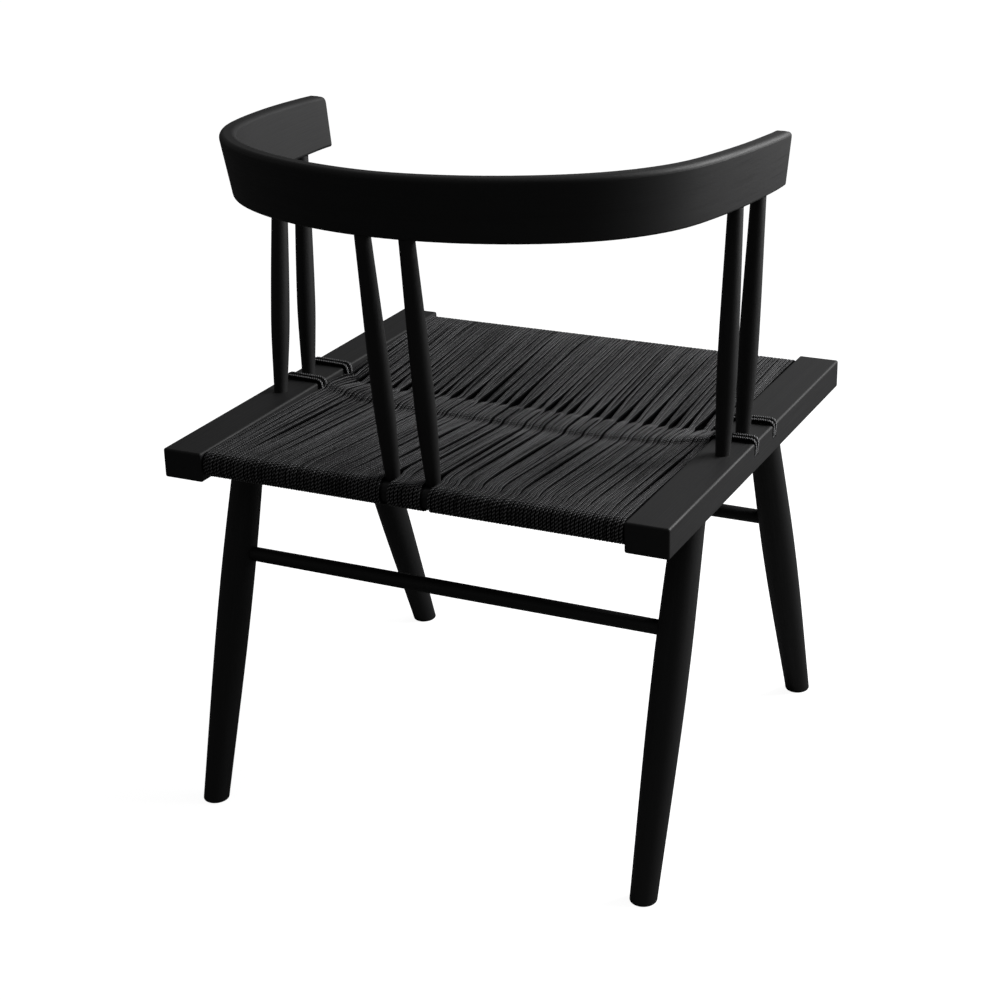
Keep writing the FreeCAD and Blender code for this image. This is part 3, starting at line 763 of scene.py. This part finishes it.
def binder_side(y, groove_y):
    """Control points of one strand from the rail's underside to the middle of the seat."""
    return [
        (GROOVE_LINE - (GROOVE_END - SLOT_END), groove_y, SLOT_END),
        (GROOVE_LINE, groove_y, GROOVE_END),
        (GROOVE_LINE + 0.4, groove_y, GROOVE_END + 7),
        (GROOVE_LINE + 1.6, y, OVER_RAIL + 0.8),
        (GROOVE_LINE - 12, y, OVER_RAIL + 0.6),
        (rail_inner + 8, y, OVER_RAIL),
        (rail_inner - 2, y, OVER_RAIL - 0.5),
        (rail_inner - 3, y, TOP - 6),
        (rail_inner - 8, y, RUN_HEIGHT + 4),
        (rail_inner - 40, y + BOW, RUN_HEIGHT),
    ]


print("binders run inside the seat at", round(RUN_HEIGHT, 1), "mm")

# %% [markdown]
# Both binders are laid by one loop. On the outer face the groove is narrower than three strands, so
# their pitch shrinks there to about half, and the groove's middle lies a little ahead of the band's.

# %% Binder cords
ALONG_SEAT = np.array((0.0, 1.0, 0.0))
STRANDS = 3
IN_GROOVE = 0.55
OFF_GROOVE_MIDDLE = -1.4

for place in ("front", "rear"):
    for strand in range(STRANDS):
        offset = (strand - (STRANDS - 1) / 2) * STRAND_PITCH
        groove_y = binder_y[place] + offset * IN_GROOVE + OFF_GROOVE_MIDDLE
        left = binder_side(binder_y[place] + offset, groove_y)
        chain = drawn_route(left + [(-x, y, z) for x, y, z in reversed(left)])
        # the side of each strand that carries the painted light faces away from this direction
        sideways = ALONG_SEAT if strand % 2 else -ALONG_SEAT
        name = f"{place}_binder_strand_{strand + 1}"
        lay_cord(name, chain, sideways, binder_twist, f"{place}_binder_cord")

# %% [markdown]
# The chair stands on plain white studio paper. Enough light to make the paper white would also make
# the black chair grey. So to the camera the floor glows and also takes light, which makes it white but
# keeps a soft shadow under the chair, while the chair itself is lit by a duller floor. Nothing on the
# chair is metal or glass, so only camera rays are told apart.

# %% Floor
FLOOR_REACH = 20
floor_shape = bmesh.new()
bmesh.ops.create_grid(floor_shape, x_segments=1, y_segments=1, size=FLOOR_REACH)
floor_mesh = bpy.data.meshes.new("floor")
floor_shape.to_mesh(floor_mesh)
floor_shape.free()
floor = bpy.data.objects.new("floor", floor_mesh)
bpy.context.collection.objects.link(floor)

white_paper, paper_tree = blank_material("white_studio_paper")
seen = add(paper_tree, "ShaderNodeLightPath", {})
dull = add(paper_tree, "ShaderNodeBsdfDiffuse", {"Color": colour("#686868")})
matt = add(paper_tree, "ShaderNodeBsdfDiffuse", {"Color": colour("#aaaaaa")})
glow = add(paper_tree, "ShaderNodeEmission", {"Color": colour("#ffffff"), "Strength": 0.93})
bright = add(paper_tree, "ShaderNodeAddShader", {0: matt.outputs[0], 1: glow.outputs[0]})
chosen = add(
    paper_tree,
    "ShaderNodeMixShader",
    {0: seen.outputs["Is Camera Ray"], 1: dull.outputs[0], 2: bright.outputs[0]},
)
add(paper_tree, "ShaderNodeOutputMaterial", {"Surface": chosen.outputs[0]})
floor.data.materials.append(white_paper)
print("the floor is", 2 * FLOOR_REACH, "m wide")

# %% [markdown]
# The world is white to the camera too. The chair itself sees a dim world on the camera's side and a
# brighter one ahead, as in a studio whose white paper hangs behind the object. An even white world
# would be simpler, but would wash out the black wood.

# %% World
BRIGHT_SIDE = (-0.45, -0.89, 0.05)
world = bpy.data.worlds.new("studio")
world.use_nodes = True
world.node_tree.nodes.clear()
sky = world.node_tree
bpy.context.scene.world = world
seen = add(sky, "ShaderNodeLightPath", {})
looking = add(sky, "ShaderNodeTexCoord", {})
ahead = add(
    sky,
    "ShaderNodeVectorMath",
    {0: looking.outputs["Generated"], 1: BRIGHT_SIDE},
    operation="DOT_PRODUCT",
)
share = add(
    sky,
    "ShaderNodeMapRange",
    {"Value": ahead.outputs["Value"], "From Min": 0.4, "From Max": 0.95, "To Min": 0.14, "To Max": 0.6},
)
dim = add(sky, "ShaderNodeBackground", {"Strength": share.outputs[0]})
white = add(sky, "ShaderNodeBackground", {"Color": (1, 1, 1, 1), "Strength": 1.0})
mixed = add(
    sky, "ShaderNodeMixShader", {0: seen.outputs["Is Camera Ray"], 1: dim.outputs[0], 2: white.outputs[0]}
)
add(sky, "ShaderNodeOutputWorld", {"Surface": mixed.outputs[0]})
print("the world is brightest towards", BRIGHT_SIDE)

# %% [markdown]
# Two lamps shape the chair: a wide, weak one overhead, and a softbox ahead of it on the sitter's
# right, whose sheen runs along the crest rail's end and the side rail. A spotlight would draw hard
# shadows of the spindles across the seat, which large lamps avoid. The Standard view transform shows
# colours as they are written.

# %% Lamps
overhead = bpy.data.lights.new("overhead_softbox", "SUN")
overhead.energy = 0.3
overhead.angle = math.radians(50)
softbox = bpy.data.lights.new("right_softbox", "AREA")
softbox.shape = "SQUARE"
softbox.size = 0.8
softbox.energy = 28
LAMPS = {overhead: Vector((-0.5, -0.45, 2.0)), softbox: Vector((-1.1, -0.75, 1.15))}
LIT = Vector((0, 0, 0.43))
for lamp, place in LAMPS.items():
    holder = bpy.data.objects.new(lamp.name, lamp)
    holder.location = place
    holder.rotation_euler = (place - LIT).to_track_quat("Z", "Y").to_euler()
    bpy.context.collection.objects.link(holder)
    print(lamp.name, "shines at", round(lamp.energy, 2))

bpy.context.scene.view_settings.view_transform = "Standard"
